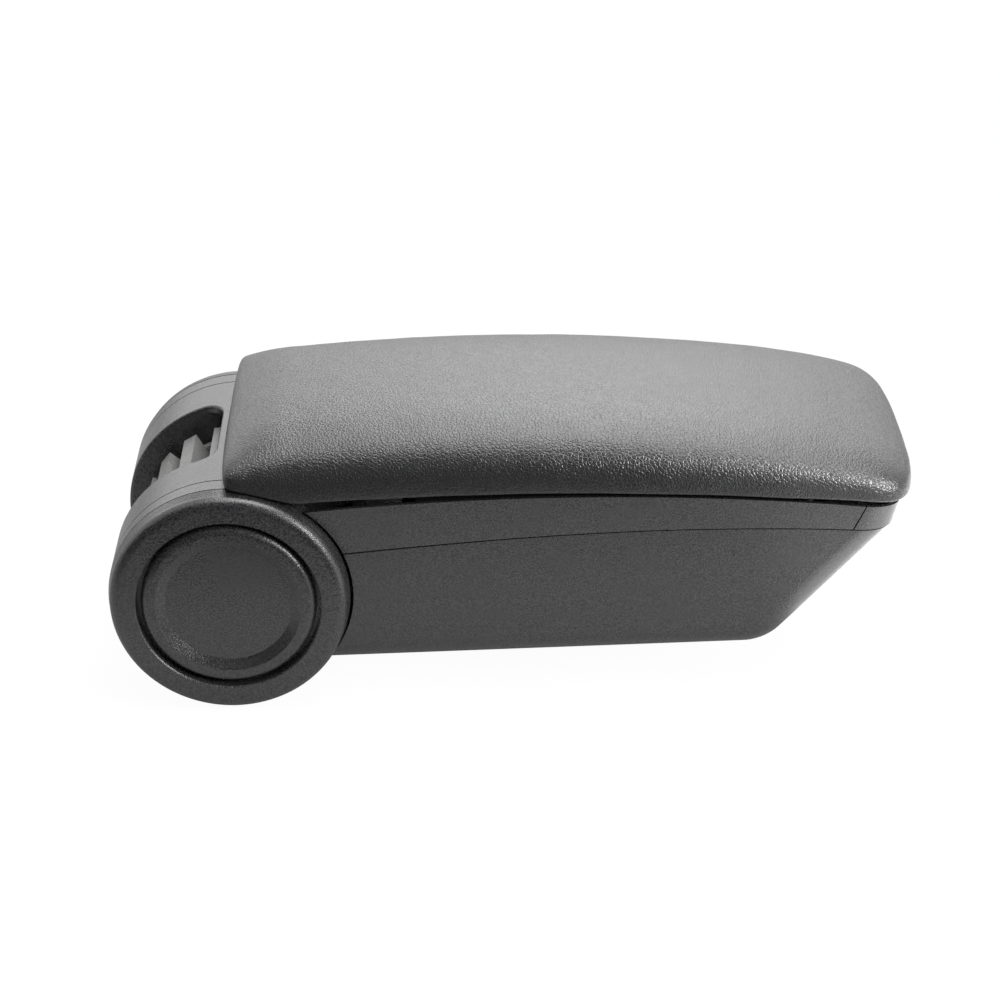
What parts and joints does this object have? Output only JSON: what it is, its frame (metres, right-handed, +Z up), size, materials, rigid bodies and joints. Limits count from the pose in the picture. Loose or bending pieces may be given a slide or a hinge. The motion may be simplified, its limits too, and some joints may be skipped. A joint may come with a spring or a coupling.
{
  "type": "car centre armrest",
  "caption": "Black car centre armrest: a padded leatherette lid on a storage box, tilting up about a round friction hinge with a slotted barrel.",
  "frame": {"origin": "middle of the hinge core's lower face, where the car's foot bolts on; the hinge axis is 40 mm above it", "axes": "+X to the front of the armrest, +Y to its left side along the hinge axis, +Z up"},
  "size_m": [0.3262, 0.129, 0.1253],
  "materials": {
    "black_plastic": "fine spark-eroded texture",
    "leatherette": "pebbled grain",
    "foam": "open cell",
    "grey_plastic": "moulded",
    "white_plastic": "smooth",
    "friction_lining": "pressed fibre",
    "steel": "zinc plated",
    "brass": "turned",
    "rubber": "matte"
  },
  "bodies": {
    "base": {"hinge_core": "grey_plastic", "foot_inserts": "brass", "pivot_shaft": "steel", "friction_disc_left": "friction_lining", "friction_disc_right": "friction_lining", "thrust_washer_left": "steel", "thrust_washer_right": "steel", "disc_spring_left": "steel", "disc_spring_right": "steel", "shaft_nut_left": "steel", "shaft_nut_right": "steel"},
    "arm": {"hinge_barrel": "black_plastic", "bush_left": "white_plastic", "bush_right": "white_plastic", "lid_pivot_left": "black_plastic", "lid_pivot_right": "black_plastic", "pivot_screws": "steel", "hub_cap_left": "black_plastic", "hub_cap_right": "black_plastic", "centre_cap_left": "black_plastic", "centre_cap_right": "black_plastic", "arm_frame": "black_plastic", "barrel_screws": "steel", "storage_box": "black_plastic", "box_screws": "steel", "lid_bumpers": "rubber", "latch_pins": "steel", "latch_spring": "steel"},
    "lid": {"lid_pan": "black_plastic", "foam_pad": "foam", "cushion_cover": "leatherette", "lid_arm_left": "black_plastic", "lid_arm_right": "black_plastic", "lid_screws": "steel", "latch_strike": "steel"},
    "latch": {"latch_lever": "black_plastic"}
  },
  "joints": [
    {"name": "arm_tilt", "type": "hinge", "parent": "base", "child": "arm", "pos_m": [0, 0, 0.04], "axis": [0, -1, 0], "range_deg": [0, 115]},
    {"name": "lid_open", "type": "hinge", "parent": "arm", "child": "lid", "pos_m": [0, 0, 0.04], "axis": [0, -1, 0], "range_deg": [0, 75]},
    {"name": "latch_lift", "type": "hinge", "parent": "arm", "child": "latch", "pos_m": [0.254, 0, 0.076], "axis": [0, -1, 0], "range_deg": [0, 5], "stiffness_Nm_per_rad": 0.6, "springref_deg": -2.86, "deforming": ["latch_spring"]}
  ]
}
